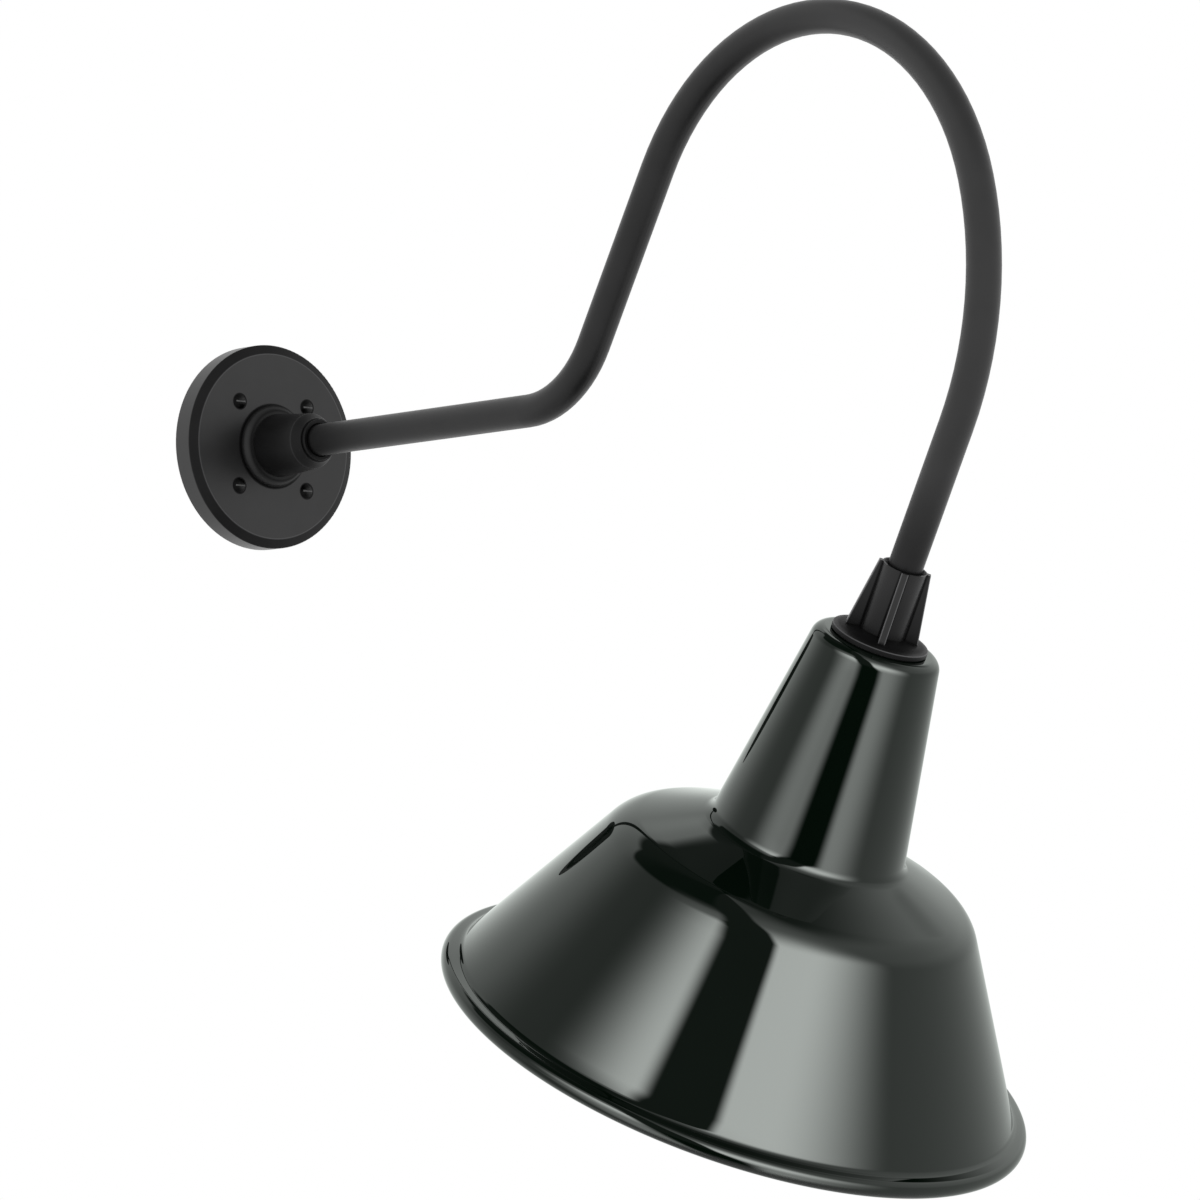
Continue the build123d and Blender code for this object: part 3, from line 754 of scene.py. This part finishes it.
def lamp_shell():
    """The shell's sheet round its axis, as a grid of points.

    Its radius is the outline's radius plus a sine of the turn less the height over the pitch, so the
    wave climbs one pitch each turn.  The wave fades out at the shoulder and at the foot.
    """
    corners = [
        (shell_floor_hole, shell_top),
        (shell_collar, shell_top),
        (shell_collar, shell_shoulder),
        (shell_radius, shell_shoulder),
        (shell_radius, shell_foot),
    ]
    line = spaced(filleted(corners, [shell_round] * 3, shell_round_step), shell_step)
    outline = thickened(line, shell_sheet)
    turn = np.linspace(0, 2 * np.pi, shell_columns, endpoint=False)
    radius, height = outline[:, :1], outline[:, 1:]
    fade = np.clip((thread_start - height) / thread_start_fade, 0, 1)
    fade = fade * np.clip((height - shell_foot) / thread_end_fade, 0, 1)
    wave = thread_wave * fade * np.sin(turn - 2 * np.pi * height / thread_pitch)
    return drop_axis.points(radius + wave, turn, height)


brass = bright_metal("plain_brass", (0.70, 0.50, 0.22), (0.82, 0.62, 0.30), 0.22)
nickel = bright_metal("nickel_plate", (0.66, 0.65, 0.62), (0.78, 0.77, 0.74), 0.15)
aluminium = bright_metal("drawn_aluminium", (0.70, 0.70, 0.71), (0.84, 0.84, 0.85), 0.22)
threaded_shell = skin("threaded_shell", lamp_shell()[:, ::-1], True)
threaded_shell.data.materials.append(aluminium)
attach(threaded_shell, "root")
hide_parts("screw_shell")
glaze, place, shader = finish("ceramic_glaze", Roughness=0.10, Coat_Weight=0.5)
cloud = place.noise(0.008, 3.0)
cloud.mix((0.80, 0.79, 0.75), (0.88, 0.87, 0.84)).into(shader["Base Color"])
cloud.bump(0.0001).into(shader["Normal"])
dress("socket_screws", zinc)
dress("socket_body", glaze)
for node in ("centre_contact", "contact_rivets", "line_terminal", "neutral_terminal"):
    dress(node, brass)
dress("line_terminal_screw", brass)
dress("neutral_terminal_screw", nickel)

# Studio
# Two tall soft boxes stand left and right of the camera with a dark gap between them, in a pale
# room over a pale round floor.  Mirror gloss shows the boxes; everything else sees the room's own
# plain, even brightness.  Directions are degrees above the shade's horizon and aside to its right.
studio_up = np.array([0.08315, -0.08389, 0.99300])
studio_front = np.array([-0.71026, -0.70394, 0.0])
studio_right = np.cross(studio_front, -studio_up)

world = bpy.data.worlds.new("studio")
bpy.context.scene.world = world
world.use_nodes = True
signal = Signal(world.node_tree)
direction = signal.node("TexCoord", output="Generated")
to_right = direction.towards(studio_right)
to_front = direction.towards(studio_front)
aside = signal.math("ARCTAN2", to_right, to_front) * (180 / np.pi)
above = signal.math("ARCSINE", direction.towards(studio_up)) * (180 / np.pi)

# The gap's edges lean and bend a little, and they are softest below the horizon.
horizon = (-12.0, 12.0)
edge_soft = 2.5
edge_soft_below = 4.5
edge_soft_left = 1.5
soft = edge_soft + edge_soft_below * above.fall(*horizon)
left_soft = soft + edge_soft_left * above.rise(*horizon)
left_edge_aside = -17.2
left_edge_bulge = 2.0
left_edge_bulge_middle = 30.0
left_edge_bulge_reach = 6.0
left_edge_lean = 6.0
left_edge_lean_above = (42.0, 56.0)
left_edge = left_edge_aside - left_edge_bulge * above.near(left_edge_bulge_middle, left_edge_bulge_reach)
left_edge = left_edge - left_edge_lean * above.rise(*left_edge_lean_above)
left_of_gap = (aside - left_edge).fall(-left_soft, left_soft)
right_edge_aside = 11.5
right_edge_foot = 10.0
right_edge_foot_above = (-22.0, 10.0)
right_edge_lean = 5.0
right_edge_lean_above = (36.0, 56.0)
right_edge = right_edge_aside + right_edge_foot * above.fall(*right_edge_foot_above)
right_edge = right_edge - right_edge_lean * above.rise(*right_edge_lean_above)
right_of_gap = (aside - right_edge).rise(-soft, soft)

# Each box fades out at its outer side, is low at its foot and dims again towards its top.
left_box_side = (-66.0, -22.0)
left_box_foot = 10.0
left_box_foot_above = (-9.0, 3.0)
left_box_low = 2.6
left_box_more = 6.0
left_box_more_above = (-14.0, 24.0)
left_box_dim = 0.82
left_box_dim_above = (24.0, 36.0)
left_box_end_above = (34.0, 56.0)
left_box = (aside + left_box_foot * above.fall(*left_box_foot_above)).rise(*left_box_side)
left_box = left_box * (left_box_low + left_box_more * above.rise(*left_box_more_above))
left_box = left_box * (1 - left_box_dim * above.rise(*left_box_dim_above))
left_box = left_box * above.fall(*left_box_end_above)
right_box_side = (30.0, 78.0)
right_box_lean = 12.0
right_box_lean_above = (18.0, 40.0)
right_box_low = 3.4
right_box_more = 6.6
right_box_more_above = (-20.0, 22.0)
right_box_dim = 0.95
right_box_dim_above = (9.0, 52.0)
right_box = (aside + right_box_lean * above.rise(*right_box_lean_above)).fall(*right_box_side)
right_box = right_box * (right_box_low + right_box_more * above.rise(*right_box_more_above))
right_box = right_box * (1 - right_box_dim * above.rise(*right_box_dim_above))

# The room round the boxes is darkest at its top.
behind_aside = (-167.0, -160.0)
behind_more = 0.45
behind_more_above = (44.0, 54.0)
behind_top_lift = 9.0
behind = aside.fall(*behind_aside)
left_room_level = 0.90
left_room_band = 0.20
left_room_band_middle = 6.0
left_room_band_reach = 24.0
left_room_front = 0.50
left_room_front_aside = (-120.0, -80.0)
left_room_top = 0.92
left_room_top_above = (54.0, 59.0)
left_room_top_lean = 11.0
left_room_top_lean_aside = (-122.0, -100.0)
left_room = left_room_level + left_room_band * above.near(left_room_band_middle, left_room_band_reach)
left_room = left_room - left_room_front * aside.rise(*left_room_front_aside)
left_room = left_room + behind_more * behind * above.rise(*behind_more_above)
top_line = above + left_room_top_lean * aside.rise(*left_room_top_lean_aside) - behind_top_lift * behind
left_room = left_room * (1 - left_room_top * top_line.rise(*left_room_top_above))
right_room_level = 0.72
right_room_more = 0.25
right_room_more_above = (14.0, 30.0)
right_room_top = 0.88
right_room_top_above = (46.0, 74.0)
right_room_end_aside = (138.0, 150.0)
right_room_end_above = (36.0, 50.0)
right_room = right_room_level + right_room_more * above.rise(*right_room_more_above)
right_room = right_room * (1 - right_room_top * above.rise(*right_room_top_above))
right_room = right_room * (1 - aside.rise(*right_room_end_aside) * above.rise(*right_room_end_above))

# Mirror gloss sees the boxes, and all else sees an even light.  Camera and transmission rays see white.
gap_level = 0.11
gap_above = (-10.0, 10.0)
gap = gap_level * above.rise(*gap_above) * (1 - left_of_gap) * (1 - right_of_gap)
boxes = left_of_gap * (left_box + left_room) + right_of_gap * (right_box + right_room) + gap
even_level = 1.05
even_top = 0.45
even_top_above = (25.0, 60.0)
even_foot = 0.35
even_foot_above = (-60.0, -25.0)
even = even_level - even_top * above.rise(*even_top_above) - even_foot * above.fall(*even_foot_above)
plain_white = (1.0, 1.0, 1.0)
mirrored_tint = (0.94, 1.0, 0.955)
camera_sees = signal.node("LightPath", output="Is Camera Ray")
through = signal.node("LightPath", output="Is Transmission Ray")
mirrored = signal.node("LightPath", output="Is Singular Ray")
seen = camera_sees.larger(through)
level = (boxes * mirrored + even * (1 - mirrored)) * (1 - seen) + seen
background = world.node_tree.nodes["Background"].inputs
level.into(background["Strength"])
(mirrored * (1 - seen)).mix(plain_white, mirrored_tint).into(background["Color"])

floor_centre = (0.0, -0.45, -1.20)
floor_radius = 1.10
floor_fade = 0.30
floor_rings = 12
floor_columns = 96
floor_axis = Axis(floor_centre, upward, rightward)
radius = np.linspace(0, floor_radius, floor_rings)[:, None]
turn = np.linspace(0, 2 * np.pi, floor_columns, endpoint=False)
floor = skin("floor", floor_axis.points(radius, turn, 0.0), False)
pale, place, shader = finish("pale_floor", Roughness=0.9)
place.noise(0.02).mix((0.84, 0.84, 0.84), (0.86, 0.86, 0.86)).into(shader["Base Color"])
place.apart(floor_centre).fall(floor_fade, floor_radius).into(shader["Alpha"])
floor.data.materials.append(pale)

# Camera
# It stands front left of the light and a little below its middle, far off with a long lens.  Its
# place and turn were worked out from the outlines of the canopy, the arm and the rim.
camera_place = (-2.56762, -3.37035, -0.47395)
camera_right = Vector((0.757423, -0.652924, 0.0))
camera_ahead = Vector((0.650568, 0.754690, 0.084881))
camera_sensor = 36.0
focal_pixels = 5688.5
picture_pixels = 1200
lens = bpy.data.cameras.new("camera")
lens.sensor_width = camera_sensor
lens.lens = camera_sensor * focal_pixels / picture_pixels
lens.clip_end = 100.0
camera = bpy.data.objects.new("camera", lens)
bpy.context.scene.collection.objects.link(camera)
turned = Matrix((camera_right, camera_right.cross(camera_ahead), -camera_ahead)).transposed()
camera.matrix_world = Matrix.Translation(camera_place) @ turned.to_4x4()
bpy.context.scene.camera = camera
bpy.context.scene.view_settings.view_transform = "Standard"
